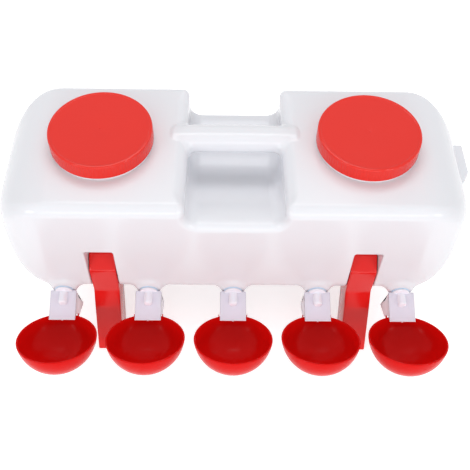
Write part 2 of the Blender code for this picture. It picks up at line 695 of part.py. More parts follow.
def build_valve(i, x):
    """Housing of one valve: a stub in the tank's boss, a flange, a hood and the spring's tube."""
    dome = SPRING_TUBE_RADIUS - SPRING_TUBE_END
    profile = [(0, -TUBE_END)]
    profile += arc(SPRING_TUBE_RADIUS - dome, -TUBE_END - dome, dome, 90, 0, 2)
    profile += [
        (SPRING_TUBE_RADIUS, -FLANGE_FRONT),
        (FLANGE_RADIUS, -FLANGE_FRONT),
        (FLANGE_RADIUS, -FLANGE_BACK),
        (STUB_RADIUS, -FLANGE_BACK),
        (STUB_RADIUS, -SEAT_Y),
        (0, -SEAT_Y),
    ]
    housing = turned_forward(f"valve_housing_{i}", profile, VALVE_STEPS, x, WHITE_ACETAL)
    join(housing, hood_shell(i, x))
    waterway = [
        (0, -TUBE_END - SPRING_TUBE_END),
        (SPRING_TUBE_BORE, -TUBE_END - SPRING_TUBE_END),
        (SPRING_TUBE_BORE, -HOOD_INNER_BACK),
        (STEM_HOLE_RADIUS, -HOOD_INNER_BACK),
        (STEM_HOLE_RADIUS, -FLANGE_BACK),
        (STUB_BORE_RADIUS, -FLANGE_BACK),
        (STUB_BORE_RADIUS, -SEAT_Y + SEAT_THICKNESS),
        (STEM_HOLE_RADIUS, -SEAT_Y + SEAT_THICKNESS),
        (STEM_HOLE_RADIUS, -SEAT_Y - SEAT_THICKNESS),
        (0, -SEAT_Y - SEAT_THICKNESS),
    ]
    cut(housing, turned_forward(f"waterway_{i}", waterway, VALVE_STEPS, x))
    slot_half = LEVER_WIDTH / 2 + RUNNING_GAP
    slot_front = LEVER_Y_DOWN - LEVER_THICKNESS
    slot = [
        (HOOD_INNER_BACK, VALVE_Z),
        (slot_front, VALVE_Z),
        (slot_front, HINGE_Z),
        (HOOD_INNER_BACK, HINGE_Z),
    ]
    cut(housing, place(f"lever_slot_{i}", side_prism(f"lever_slot_{i}", slot, slot_half, x)))
    seat_half = HOOD_INNER_HALF + HINGE_PIN_SEAT + FIT_GAP
    seat = cylinder(f"pin_seat_{i}", HINGE_PIN_RADIUS + FIT_GAP, seat_half, (x, HINGE_Y, HINGE_Z))
    cut(housing, place(f"pin_seat_{i}", seat))

    ring_hole = STUB_RADIUS + FIT_GAP
    ring_back = -RING_BACK
    ring_front = ring_back + SEAL_RING_THICKNESS
    ring = [
        (ring_hole, ring_front),
        (SEAL_RING_RADIUS, ring_front),
        (SEAL_RING_RADIUS, ring_back),
        (ring_hole, ring_back),
    ]
    turned_forward(f"seal_ring_{i}", ring, VALVE_STEPS, x, BLUE_SILICONE)

    stem = [
        (0, -STEM_FRONT),
        (STEM_RADIUS, -STEM_FRONT),
        (STEM_RADIUS, -HEAD_FRONT),
        (STEM_HEAD_RADIUS, -HEAD_FRONT),
        (STEM_HEAD_RADIUS, -HEAD_FRONT - STEM_HEAD_THICKNESS),
        (0, -HEAD_FRONT - STEM_HEAD_THICKNESS),
    ]
    turned_forward(f"valve_pin_{i}", stem, PIN_STEPS, x, WHITE_ACETAL)
    seal = [
        (STEM_RADIUS + FIT_GAP, -SEAL_FRONT),
        (VALVE_SEAL_RADIUS, -SEAL_FRONT),
        (VALVE_SEAL_RADIUS, -SEAL_FRONT - VALVE_SEAL_THICKNESS),
        (STEM_RADIUS + FIT_GAP, -SEAL_FRONT - VALVE_SEAL_THICKNESS),
    ]
    turned_forward(f"valve_seal_{i}", seal, PIN_STEPS, x, BLACK_RUBBER)
    pin = cylinder(f"hinge_pin_{i}", HINGE_PIN_RADIUS, HOOD_INNER_HALF + HINGE_PIN_SEAT, (0, 0, 0))
    place(f"hinge_pin_{i}", pin, STAINLESS_STEEL, location=(x, HINGE_Y, HINGE_Z))


def build_spring(i, x):
    """Return spring in its tube, between the tube's closed end and the lever."""
    front = TUBE_END + SPRING_TUBE_END + FIT_GAP + SPRING_WIRE_RADIUS
    back = LEVER_Y - LEVER_THICKNESS / 2 - RUNNING_GAP - SPRING_WIRE_RADIUS
    wire = bpy.data.curves.new(f"return_spring_{i}", "CURVE")
    wire.dimensions = "3D"
    wire.bevel_depth = SPRING_WIRE_RADIUS
    wire.bevel_resolution = 0
    wire.use_fill_caps = True
    steps = SPRING_TURNS * SPRING_STEPS
    coil = wire.splines.new("POLY")
    coil.points.add(steps)
    for k, point in enumerate(coil.points):
        turn = 2 * math.pi * k / SPRING_STEPS
        along = back + (front - back) * k / steps
        point.co = (SPRING_RADIUS * math.cos(turn), along, SPRING_RADIUS * math.sin(turn), 1)
    spring = bpy.data.objects.new(f"return_spring_{i}", wire)
    wire.materials.append(STAINLESS_STEEL)
    drinker.objects.link(spring)
    spring.parent = origin
    spring.location = (x, 0, VALVE_Z)


def build_cup(i, x):
    """Round drinking cup with the rear arm, hub and lever that work its valve, hung on its hinge."""
    hinge = make_empty(f"hinge_{i}", (x, HINGE_Y, HINGE_Z), origin)
    centre_y, centre_z = CUP_Y - HINGE_Y, CUP_Z - HINGE_Z
    centre = (0, centre_y, centre_z)
    rim_z = CUP_DEPTH - CUP_RADIUS
    rim_degrees = -math.degrees(RIM_ANGLE)
    bowl = [(0, rim_z), (RIM_RADIUS - FIT_GAP, rim_z)]
    bowl += arc(0, 0, CUP_RADIUS, rim_degrees - 1, -90, CUP_ARC_STEPS)
    cup = turned(f"cup_{i}", bowl, CUP_STEPS, RED_PLASTIC, hinge, centre, -CUP_TILT)

    behind = CUP_RADIUS - CUP_WALL / 2
    top_angle = CUP_TILT + RIM_ANGLE + ARM_BELOW_RIM
    arm = [(0, ARM_ROOT_HALF)]
    for angle in (top_angle, top_angle + ARM_SPREAD):
        arm.append((centre_y + behind * math.cos(angle), centre_z - behind * math.sin(angle)))
    arm.append((0, -ARM_ROOT_HALF))
    join(cup, place(f"arm_{i}", side_prism(f"arm_{i}", arm, ARM_WIDTH / 2), parent=hinge))
    hub_half = HOOD_INNER_HALF - RUNNING_GAP
    join(cup, place(f"hub_{i}", cylinder(f"hub_{i}", HUB_RADIUS, hub_half, (0, 0, 0)), parent=hinge))

    lean = CUP_TRAVEL / 2
    across, along = math.cos(lean), math.sin(lean)
    length = HINGE_BELOW_VALVE / across + LEVER_TOP
    half = LEVER_THICKNESS / 2
    lever = []
    for y, z in ((-half, 0), (half, 0), (half, length), (-half, length)):
        lever.append((y * across + z * along, z * across - y * along))
    join(cup, place(f"lever_{i}", side_prism(f"lever_{i}", lever, LEVER_WIDTH / 2), parent=hinge))

    ear_x = HOOD_WIDTH / 2 + EAR_GAP + EAR_THICKNESS / 2
    ear_place = (-HINGE_BEHIND_RIM - EAR_THICKNESS / 2, RIM_ABOVE_HINGE + EAR_RADIUS / 2)
    for side in (-1, 1):
        name = f"ear_{i}_{side}"
        ear = cylinder(name, EAR_RADIUS, EAR_THICKNESS / 2, (side * ear_x, *ear_place))
        join(cup, place(name, ear, parent=hinge))

    inner_radius = CUP_RADIUS - CUP_WALL
    inside = [(0, CUP_WALL), (math.sqrt(inner_radius ** 2 - rim_z ** 2), CUP_WALL)]
    inside_rim = math.degrees(math.asin(rim_z / inner_radius))
    inside += arc(0, 0, inner_radius, inside_rim, -90, CUP_ARC_STEPS - 1)
    cut(cup, turned(f"cup_inside_{i}", inside, CUP_STEPS, None, hinge, centre, -CUP_TILT))
    bore = cylinder(f"hub_bore_{i}", HINGE_PIN_RADIUS + FIT_GAP, HOOD_WIDTH, (0, 0, 0))
    cut(cup, place(f"hub_bore_{i}", bore, parent=hinge))


build_tank()
for side, x in LID_XS.items():
    build_lid(side, x)
for side, x in STAND_XS.items():
    build_stand(side, x)
for number, x in enumerate(CUP_XS, start=1):
    build_valve(number, x)
    build_spring(number, x)
    build_cup(number, x)
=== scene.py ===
"""Poultry drinker dressed for its photograph: a long blow-moulded tank with a bridge handle, two
knurled screw lids, two arch stands and five tilting cups on sprung valves.

Shapes are worked out in millimetres from the middle of the tank, with z = 0 on the ground and the
cups on the side of negative y. They are moved into the shared frame when a piece is made.
"""
import math

import bmesh
import bpy
import numpy as np
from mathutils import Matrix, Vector


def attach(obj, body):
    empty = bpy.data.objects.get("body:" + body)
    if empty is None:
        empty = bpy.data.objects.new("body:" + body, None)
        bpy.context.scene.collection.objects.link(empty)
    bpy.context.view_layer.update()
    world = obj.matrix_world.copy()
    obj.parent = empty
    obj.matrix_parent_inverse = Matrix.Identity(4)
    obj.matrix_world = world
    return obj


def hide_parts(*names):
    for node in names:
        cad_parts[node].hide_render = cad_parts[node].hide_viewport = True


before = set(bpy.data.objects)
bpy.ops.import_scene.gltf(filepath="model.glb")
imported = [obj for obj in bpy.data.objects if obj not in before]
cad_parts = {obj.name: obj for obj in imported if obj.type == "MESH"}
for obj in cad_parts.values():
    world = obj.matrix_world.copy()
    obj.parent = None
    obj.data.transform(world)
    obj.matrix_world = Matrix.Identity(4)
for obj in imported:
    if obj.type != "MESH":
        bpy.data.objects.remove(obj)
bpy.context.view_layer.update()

MM = 0.001
# Where the middle of the tank stands in the shared frame
SHIFT = np.array((-5.0, 32.334, 0.0))

# Tank
LENGTH, DEPTH, BOTTOM, TOP = 480.0, 172.0, 65.0, 212.0
FACE, MIDDLE = DEPTH / 2, (TOP + BOTTOM) / 2
WALL = 2.5
PLAN_RADIUS, END_TOP_RADIUS, END_BOTTOM_RADIUS = 54.0, 63.0, 57.0
TOP_EDGE, BOTTOM_EDGE, EDGE_BLEND = 12.0, 24.0, 30.0

# Saddle across the tank's middle
SADDLE_HALF, SADDLE_FILLET = 48.5, 14.0
SADDLE_EDGE, SADDLE_LIP, LIP_START = 13.0, 7.0, 60.0
FRONT_DROP, MIDDLE_DROP, REAR_DROP = 26.0, 56.0, 41.0
# Cosine of the saddle floor's mean lean
FLOOR_LEAN = 0.93

# Bridge handle
HANDLE_Y, HANDLE_HALF_DEPTH, HANDLE_HALF_HEIGHT, HANDLE_ROUND = 17.5, 14.0, 12.0, 11.0
HANDLE_REACH, HANDLE_RISE, HANDLE_DROOP = 65.0, 2.2, 1.0
HANDLE_CORNER, CORNER_BACK, HANDLE_EDGE = 18.0, 3.0, 3.0
TOP_FILLET, LOW_FILLET, FILLET_DEPTH = 2.5, 9.0, 9.0

# Lug on the tank's right end
LUG_Z, LUG_HALF, LUG_ROOT, LUG_END, LUG_BACK = 161.0, 7.0, 225.0, 250.0, 44.0
# Its slanting front edge starts at this place; the scale is the length of the edge's normal
LUG_START_X, LUG_START_Y, LUG_SLOPE, LUG_SCALE = 240.0, -13.0, 1.7, 1.97
LUG_CORNER, LUG_EDGE, LUG_FILLET = 1.5, 2.0, 3.0

# Lattice that the tank's skin is taken from
LATTICE_LOW, LATTICE_HIGH = (-246.0, -96.0, 56.0), (258.0, 93.0, 219.0)
OUTER_PITCH, INNER_PITCH = 3.0, 4.0
OUTER_ROUNDS, REFINED_ROUNDS, INNER_ROUNDS = 5, 4, 4
KEPT_SHARE = 0.5

# Lids and necks
LID_X, LID_Y = 133.5, 3.0
LID_RADIUS, LID_LOW, LID_HIGH, LID_WALL = 51.9, 214.7, 230.5, 1.8
LID_SUNK, LID_CEILING = 0.4, 2.2
GATE_DEPTH, RIM_START, RIM_TOP_START = 0.35, 48.3, 48.9
NECK_RADIUS, NECK_BORE, NECK_TOP = 48.6, 45.0, 226.5
SHOULDER_RADIUS, SHOULDER_TOP = 50.6, 214.2
MOUTH_MARGIN, MOUTH_DEPTH = 2.0, 6.0
RIBS, STEPS_PER_RIB, KNURL_DEPTH = 108, 6, 0.6
THREAD_HALF, THREAD_TURNS, THREAD_FADE, THREAD_SUNK = 1.1, 1.4, 0.12, 0.25
NECK_THREAD_LOW, NECK_THREAD_HIGH, NECK_BULGE = 217.0, 224.0, 0.6
LID_THREAD_LOW, LID_THREAD_HIGH, LID_BULGE = 217.4, 224.4, -0.45

# Sockets in the tank and arch stands
STAND_X, STAND_HALF, STAND_WALL, STAND_GAP, STAND_EDGE = 138.0, 14.0, 2.8, 0.3, 1.4
SOCKET_HALF, SOCKET_BACK, SOCKET_CEILING = 14.7, 18.0, 125.0
SOCKET_CORNER, SOCKET_EDGE = 2.0, 1.6
# Heights over the tank's bottom: the leg's top at its back and at the tank's face, and its lower end
LEG_BACK_TOP, LEG_FACE_TOP, LEG_FACE_END = 58.0, 43.0, 5.0
# Out from the tank's face, and down from its bottom
KNEE_OUT, KNEE_DOWN, TOE_OUT = 10.0, 12.0, 37.0
SOLE_LENGTH, SOLE_WALL = 39.0, 3.0
CROTCH_Z, CROTCH_IN, CROTCH_DOWN = 45.7, 6.0, 15.0

# Valves
OUTER_CUP, CUP_SPACING = 2, 91.3
CUP_XS = [CUP_SPACING * step for step in range(-OUTER_CUP, OUTER_CUP + 1)]
VALVE_Z, BOSS_RADIUS, BOSS_FACE, BOSS_ROOT = 76.0, 12.0, -88.6, -68.0
BOSS_TAPER, TAPER_START, BOSS_EDGE, BOSS_FILLET = 0.55, -82.0, 1.0, 10.0
RING_FRONT, RING_BACK, RING_BORE, RING_RADIUS = -91.1, -88.9, 7.6, 9.9
FLANGE_FRONT, FLANGE_BACK, FLANGE_RADIUS = -93.4, -91.4, 9.7
TUBE_END, TUBE_RADIUS, TUBE_ROUND = -107.4, 4.8, 2.6
SEAT_Y, STUB_RADIUS, SEAT_BORE = -70.4, 7.3, 5.2
HINGE_Y, HINGE_Z = -97.486, 57.0
HOOD_WIDTH, HOOD_WALL, CHEEK_HALF = 28.0, 1.8, 0.9
HOOD_BACK, HOOD_REACH, HOOD_RISE, HOOD_FALL, HOOD_FOOT = -91.7, 30.1, 3.1, 10.7, 63.0
HEEL_BACK, HEEL_DOWN = 15.4, 20.4

# Cups
CUP_Y, CUP_Z = -146.268, 82.011
CUP_RADIUS, CUP_WALL, RIM_DROP, RIM_ROUND = 41.4, 1.8, 4.4, 0.85
RIM_ANGLE, RIM_MARGIN = math.asin(0.1063), 0.012
CUP_TILT, BOWL_TILT = math.radians(28), math.radians(24.5)
ARM_HALF_WIDTH, ARM_HALF_HEIGHT, ARM_ANGLES = 4.5, 3.0, (2.5, 17.5)
HUB_RADIUS, HUB_HALF = 3.4, 11.7
EAR_RADIUS, EAR_HALF, EAR_X, EAR_AHEAD, EAR_UP = 2.6, 0.5, 15.2, 15.4, 3.3
LEVER_LEAN, LEVER_HALF, LEVER_HALF_WIDTH, LEVER_OVER = math.radians(6), 1.2, 2.0, 2.0

# Steps round each turned part, and angles in degrees from which an edge is shaded sharp
NECK_STEPS, VALVE_STEPS, BOWL_STEPS, HUB_STEPS, EAR_STEPS = 160, 64, 128, 40, 32
CREASE, SOFT_CREASE = 40, 50

# Finishes
ROUGHNESS_DRIFT, DRIFT_DETAIL, GRAIN_DETAIL = 0.06, 3.0, 2.0
SCATTER_RADIUS, SCATTER_SCALE = (1.0, 0.8, 0.8), 0.004

# Studio, in metres and watts: each lamp has its name, place, width, height and power
FLOOR_HALF, FLOOR_GREY, FLOOR_ROUGHNESS, FLOOR_GLOW = 6.0, 0.82, 0.9, 0.58
WORLD_LIGHT, WORLD_SEEN = 0.65, 1.0
LAMPS = (
    ("key softbox", (-0.05, 0.55, 1.35), 0.9, 0.5, 4.6),
    ("front softbox", (0.05, -1.45, 0.62), 1.3, 0.3, 5.0),
    ("left softbox", (-1.05, -1.05, 0.70), 0.45, 0.2, 4.0),
    ("right softbox", (1.05, -1.05, 0.70), 0.45, 0.2, 4.0),
)
LAMP_AIM = np.array((0, 0, 0.12))
CAMERA_PLACE, CAMERA_TURN = (-0.017129, -0.459164, 0.747784), (35.347541, -1.092143, -0.209009)
FOCAL_PIXELS, PICTURE_PIXELS, SENSOR, NEAR_CLIP = 717.394, 470, 36.0, 0.05


def smooth_step(value, low, high):
    """0 below low, 1 above high, with a smooth rise between: three squares less two cubes of the share
    of the way."""
    share = np.clip((value - low) / (high - low), 0, 1)
    return share * share * (3 - 2 * share)


def meet(a, b, radius):
    """Distance to the overlap of two solids, whose outer edge is rounded to a radius."""
    both = np.hypot(np.maximum(a + radius, 0), np.maximum(b + radius, 0))
    return np.minimum(np.maximum(a, b), -radius) + both


def join(a, b, radius):
    """Distance to the union of two solids, with a hollow fillet of that radius between them."""
    return -meet(-a, -b, radius)


def rounded(a, half_a, b, half_b, radius):
    """Distance to a rounded rectangle about the origin of two coordinates."""
    qa, qb = np.abs(a) - half_a + radius, np.abs(b) - half_b + radius
    return np.hypot(np.maximum(qa, 0), np.maximum(qb, 0)) + np.minimum(np.maximum(qa, qb), 0) - radius


def body_distance(x, y, z):
    """Distance to the plain body: the overlap of a rounded outline seen from above and one seen from
    the front. At the ends their common edge takes off its radius times 1 less the root of a half, so the
    outlines reach that much further."""
    top_share = smooth_step(z, MIDDLE - EDGE_BLEND, MIDDLE + EDGE_BLEND)
    edge = BOTTOM_EDGE + (TOP_EDGE - BOTTOM_EDGE) * top_share
    reach = LENGTH / 2 + edge * (1 - math.sqrt(0.5))
    from_above = rounded(x, reach, y, FACE, PLAN_RADIUS)
    end_radius = np.where(z > MIDDLE, END_TOP_RADIUS, END_BOTTOM_RADIUS)
    from_front = rounded(x, reach, z - MIDDLE, (TOP - BOTTOM) / 2, end_radius)
    return meet(from_above, from_front, edge)


def cut_saddle(body, x, y, z):
    """Body less the saddle's valley. Its floor is lowest under the handle and rises to the front and
    the rear lip as half a cosine wave. The height over it is scaled down for its lean, and the rim's
    radius narrows towards the lips."""
    lip = FACE - SADDLE_LIP
    ahead = y < HANDLE_Y
    drop = np.where(ahead, FRONT_DROP, REAR_DROP)
    along = np.clip((y - HANDLE_Y) / (np.where(ahead, -lip, lip) - HANDLE_Y), 0, 1)
    floor = TOP - MIDDLE_DROP + (MIDDLE_DROP - drop) * (1 - np.cos(np.pi * along)) / 2
    valley = meet(np.abs(x) - SADDLE_HALF, (floor - z) * FLOOR_LEAN, SADDLE_FILLET)
    rim = SADDLE_EDGE + (SADDLE_LIP - SADDLE_EDGE) * smooth_step(np.abs(y), LIP_START, lip)
    return meet(body, -valley, rim)


def add_handle(body, x, y, z):
    """Body joined with the handle: a bar of rounded section that droops by the square of the share of
    the way to its end, its rear corners rounded. The fillet to the body widens with depth."""
    bar_top = TOP + HANDLE_RISE - HANDLE_DROOP * (x / HANDLE_REACH) ** 2
    height = z - bar_top + HANDLE_HALF_HEIGHT
    bar = rounded(y - HANDLE_Y, HANDLE_HALF_DEPTH, height, HANDLE_HALF_HEIGHT, HANDLE_ROUND)
    corner_depth = y - HANDLE_Y - HANDLE_HALF_DEPTH - CORNER_BACK
    ends = meet(np.abs(x) - HANDLE_REACH, corner_depth, HANDLE_CORNER)
    fillet = TOP_FILLET + (LOW_FILLET - TOP_FILLET) * smooth_step(TOP - z, 0, FILLET_DEPTH)
    return join(body, meet(bar, ends, HANDLE_EDGE), fillet)


def cut_sockets(body, x, y, z):
    """Body less the four sockets of the stands: upright grooves whose roof rises outward at
    45 degrees, its height divided by the root of two."""
    off = np.abs(np.abs(x) - STAND_X) - SOCKET_HALF
    behind = SOCKET_BACK - FACE + np.abs(y)
    roof = (z - SOCKET_CEILING - (np.abs(y) - FACE + SOCKET_BACK)) / math.sqrt(2)
    socket = meet(meet(off, -behind, SOCKET_CORNER), roof, SOCKET_CORNER)
    return meet(body, -socket, SOCKET_EDGE)


def add_bosses(body, x, y, z):
    """Body joined with the five outlet bosses: round studs that taper inward from a place behind
    their face."""
    nearest = CUP_SPACING * np.clip(np.round(x / CUP_SPACING), -OUTER_CUP, OUTER_CUP)
    slim = BOSS_TAPER * np.maximum(y - TAPER_START, 0)
    stud = np.hypot(x - nearest, z - VALVE_Z) - BOSS_RADIUS + slim
    boss = meet(stud, BOSS_FACE - y, BOSS_EDGE)
    return join(body, np.maximum(boss, y - BOSS_ROOT), BOSS_FILLET)


def add_lug(body, x, y, z):
    """Body joined with the lug: a level plate whose front edge is a slanting line, its distance
    divided by the length of the line's normal."""
    front = (LUG_SLOPE * (x - LUG_START_X) - (y - LUG_START_Y)) / LUG_SCALE
    outline = meet(front, y - LUG_BACK, LUG_CORNER)
    plate = meet(np.abs(z - LUG_Z) - LUG_HALF, x - LUG_END, LUG_EDGE)
    lug = meet(outline, plate, LUG_EDGE)
    return join(body, np.maximum(lug, LUG_ROOT - x), LUG_FILLET)


def tank_distance(x, y, z):
    """Signed distance to the outside of the tank, negative inside it."""
    distance = body_distance(x, y, z)
    for feature in (cut_saddle, add_handle, cut_sockets, add_bosses, add_lug):
        distance = feature(distance, x, y, z)
    return distance


def inner_distance(x, y, z):
    """Signed distance to the tank's inner wall."""
    return tank_distance(x, y, z) + WALL


def net_surface(distance, low, high, pitch):
    """Quad skin of the region where a distance is negative: one point to each cell of a lattice that
    the surface crosses, and one quad to each lattice edge that it crosses."""
    axes = [np.arange(a, b + pitch, pitch) for a, b in zip(low, high)]
    inside = distance(*np.meshgrid(*axes, indexing="ij")) < 0
    count = np.zeros([n - 1 for n in inside.shape], int)
    for i in (0, 1):
        for j in (0, 1):
            for k in (0, 1):
                count += inside[i:i - 1 or None, j:j - 1 or None, k:k - 1 or None]
    crossed = (count > 0) & (count < 8)
    index = np.full(count.shape, -1)
    index[crossed] = np.arange(crossed.sum())
    points = np.array(low) + (np.argwhere(crossed) + 0.5) * pitch
    quads = []
    for axis in range(3):
        slices = np.moveaxis(inside, axis, 0)[:, 1:-1, 1:-1]
        cells = np.moveaxis(index, axis, 0)
        here, there = slices[:-1], slices[1:]
        around = [cells[:, :-1, :-1], cells[:, 1:, :-1], cells[:, 1:, 1:], cells[:, :-1, 1:]]
        for change, order in ((here & ~there, (0, 1, 2, 3)), (~here & there, (3, 2, 1, 0))):
            quads.append(np.stack([around[i][change] for i in order], -1))
        # Bringing the second axis to the front mirrors the cells around an edge
        if axis == 1:
            quads[-2:] = [q[:, ::-1] for q in quads[-2:]]
    return points, np.vstack(quads)


def slope_of(distance, points):
    """Gradient of a distance at the points, by its differences over a small step each way."""
    step = 0.04
    slopes = []
    for axis in range(3):
        offset = np.zeros(3)
        offset[axis] = step
        ahead, back = points + offset, points - offset
        slopes.append((distance(*ahead.T) - distance(*back.T)) / (2 * step))
    return np.stack(slopes, -1)


def lay_on_surface(distance, points, quads, rounds):
    """Even out a net and lay its points on the surface: each moves a share of the way to its
    neighbours' mean, then back along the slope by the distance over the slope's square."""
    share, flattest, longest = 0.6, 0.05, 2.0
    ends = np.vstack([quads[:, [i, (i + 1) % 4]] for i in range(4)])
    for turn in range(rounds + 1):
        if turn:
            total, count = np.zeros_like(points), np.zeros(len(points))
            np.add.at(total, ends[:, 0], points[ends[:, 1]])
            np.add.at(count, ends[:, 0], 1)
            points = points + share * (total / count[:, None] - points)
        for _ in range(3 if turn in (0, rounds) else 1):
            slope = slope_of(distance, points)
            square = np.maximum((slope ** 2).sum(1), flattest)
            reach = np.clip(distance(*points.T) / square, -longest, longest)
            points = points - slope * reach[:, None]
    return points


def refine(points, quads):
    """Split each quad in four."""
    edges = np.sort(np.vstack([quads[:, [i, (i + 1) % 4]] for i in range(4)]), axis=1)
    unique, place = np.unique(edges, axis=0, return_inverse=True)
    place = place.reshape(4, -1) + len(points)
    centre = np.arange(len(quads)) + len(points) + len(unique)
    points = np.vstack([points, points[unique].mean(1), points[quads].mean(1)])
    parts = [np.stack([quads[:, i], place[i], centre, place[i - 1]], -1) for i in range(4)]
    return points, np.vstack(parts)


def grid(points, closed=True):
    """Quads over a lattice of points, each row closed round on itself or left open."""
    index = np.arange(points.shape[0] * points.shape[1]).reshape(points.shape[:2])
    if closed:
        index = np.hstack([index, index[:, :1]])
    quads = np.stack([index[:-1, :-1], index[:-1, 1:], index[1:, 1:], index[1:, :-1]], -1)
    return points.reshape(-1, 3), quads.reshape(-1, 4).tolist()


def soften(corners, closed=False, steps=4):
    """Outline through corners (a, b, radius), each corner replaced by an arc of its radius."""
    points = []
    count = len(corners)
    for i, (a, b, radius) in enumerate(corners):
        if radius == 0 or (not closed and i in (0, count - 1)):
            points.append((a, b))
            continue
        corner = np.array((a, b))
        back = np.array(corners[i - 1][:2]) - corner
        ahead = np.array(corners[(i + 1) % count][:2]) - corner
        back, ahead = back / np.hypot(*back), ahead / np.hypot(*ahead)
        half = math.acos(np.clip(back @ ahead, -1, 1)) / 2
        bisector = (back + ahead) / np.hypot(*(back + ahead))
        centre = corner + bisector * radius / math.sin(half)
        start = corner + back * radius / math.tan(half) - centre
        sweep = math.pi - 2 * half
        turn = 1 if start[1] * back[0] - start[0] * back[1] > 0 else -1
        for k in range(steps + 1):
            angle = turn * sweep * k / steps
            c, s = math.cos(angle), math.sin(angle)
            points.append(tuple(centre + (c * start[0] - s * start[1], s * start[0] + c * start[1])))
    return points


def turned(profile, steps, ripple=None):
    """Surface of a profile of (radius, height) points turned about Z. A ripple changes the radius by
    angle and profile row."""
    angle = 2 * np.pi * np.arange(steps) / steps
    radius = np.array([r for r, _ in profile])[:, None] * np.ones(steps)
    if ripple is not None:
        radius = radius + ripple(angle)
    height = np.array([h for _, h in profile])[:, None] * np.ones(steps)
    return grid(np.stack([radius * np.cos(angle), radius * np.sin(angle), height], -1))


def moved(part, by=(0, 0, 0), turn_x=0.0):
    """A part turned about X, then moved."""
    points, faces = part
    c, s = math.cos(turn_x), math.sin(turn_x)
    x, y, z = points.T
    return np.stack([x, c * y - s * z, s * y + c * z], -1) + np.array(by), faces


def forward(part, x):
    """A part turned about Z, laid down so that its heights run forward along a valve's axis."""
    return moved(part, (x, 0, VALVE_Z), math.radians(90))


def cross_stub(radius, half, edge, steps, at):
    """Short rod that lies along X about a place, its rims rounded to an edge."""
    profile = soften([(0, -half, 0), (radius, -half, edge), (radius, half, edge), (0, half, 0)])
    points, faces = turned(profile, steps)
    return points[:, [2, 1, 0]] * (1, 1, -1) + at, faces


def prism(outline, half_width, centre=0.0, edge=0.6, steps=3):
    """Body of a closed (y, z) outline swept along X. Its side edges are rounded by rings that draw in
    along each corner's mitre, which is held short at a corner sharper than the sharpest allowed."""
    sharpest = 0.6
    flat = np.array(outline, float)
    if (flat[:, 0] * np.roll(flat[:, 1], -1) - np.roll(flat[:, 0], -1) * flat[:, 1]).sum() < 0:
        flat = flat[::-1]
    ahead = np.roll(flat, -1, 0) - flat
    ahead /= np.linalg.norm(ahead, axis=1)[:, None]
    outward = np.stack([ahead[:, 1], -ahead[:, 0]], -1)
    mitre = outward + np.roll(outward, 1, 0)
    mitre /= np.maximum((mitre ** 2).sum(1), sharpest)[:, None] / 2
    rings = []
    for side in (-1, 1):
        arc = [math.radians(90 * k / steps) for k in range(steps + 1)]
        for angle in arc if side < 0 else reversed(arc):
            inner = flat - mitre * edge * (1 - math.sin(angle))
            x = centre + side * (half_width - edge * (1 - math.cos(angle)))
            rings.append(np.column_stack([np.full(len(inner), x), inner]))
    points, faces = grid(np.array(rings))
    count = len(flat)
    last = (len(rings) - 1) * count
    return points, faces + [list(range(count)), list(range(last + count - 1, last - 1, -1))]


def thread(radius, low, high, bulge):
    """Screw thread: a low ridge that climbs a cylinder and fades out at both ends. The radius grows by
    the bulge times the cosine of the place across the ridge, less a share that sinks its sides."""
    rows, columns = int(120 * THREAD_TURNS), 9
    along = np.linspace(0, 1, rows)[:, None]
    across = np.linspace(-1, 1, columns)[None, :]
    fade = smooth_step(along, 0, THREAD_FADE) * smooth_step(1 - along, 0, THREAD_FADE)
    angle = 2 * np.pi * THREAD_TURNS * along + 0 * across
    out = radius + bulge * (fade * np.cos(across * np.pi / 2) - THREAD_SUNK)
    height = low + (high - low) * along + THREAD_HALF * across
    return grid(np.stack([out * np.cos(angle), out * np.sin(angle), height], -1), closed=False)


def face_outward(mesh):
    """Merge points that coincide, and turn every face outward."""
    bm = bmesh.new()
    bm.from_mesh(mesh)
    bmesh.ops.remove_doubles(bm, verts=bm.verts, dist=0.000002)
    bmesh.ops.recalc_face_normals(bm, faces=bm.faces)
    if all(edge.is_manifold for edge in bm.edges) and bm.calc_volume(signed=True) < 0:
        bmesh.ops.reverse_faces(bm, faces=bm.faces)
    bm.to_mesh(mesh)
    bm.free()


def make(name, parts, material, body, stands_for=(), crease=CREASE, as_given=False):
    """One piece from parts of (points, faces), in millimetres from the middle of the tank. Edges
    sharper than the crease in degrees are shaded sharp, and none is for a crease of 0. Faces that are
    used as given keep the way they face."""
    points, faces, start = [], [], 0
    for part_points, part_faces in parts:
        points.append(part_points)
        faces += [[i + start for i in face] for face in part_faces]
        start += len(part_points)
    mesh = bpy.data.meshes.new(name)
    mesh.from_pydata(((np.vstack(points) + SHIFT) * MM).tolist(), [], faces)
    if not as_given:
        face_outward(mesh)
    mesh.shade_smooth()
    if crease:
        mesh.set_sharp_from_angle(angle=math.radians(crease))
    obj = bpy.data.objects.new(name, mesh)
    bpy.context.scene.collection.objects.link(obj)
    mesh.materials.append(material)
    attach(obj, body)
    if stands_for:
        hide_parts(*stands_for)
    return obj


def apply_modifiers(obj):
    """Give an object the shape that its modifiers make."""
    bpy.context.view_layer.update()
    shaped = bpy.data.meshes.new_from_object(obj.evaluated_get(bpy.context.evaluated_depsgraph_get()))
    obj.modifiers.clear()
    obj.data = shaped


def thin(obj, share):
    """Keep a share of an object's triangles, with fewer where its surface is flat."""
    modifier = obj.modifiers.new("fewer", "DECIMATE")
    modifier.ratio = share
    apply_modifiers(obj)


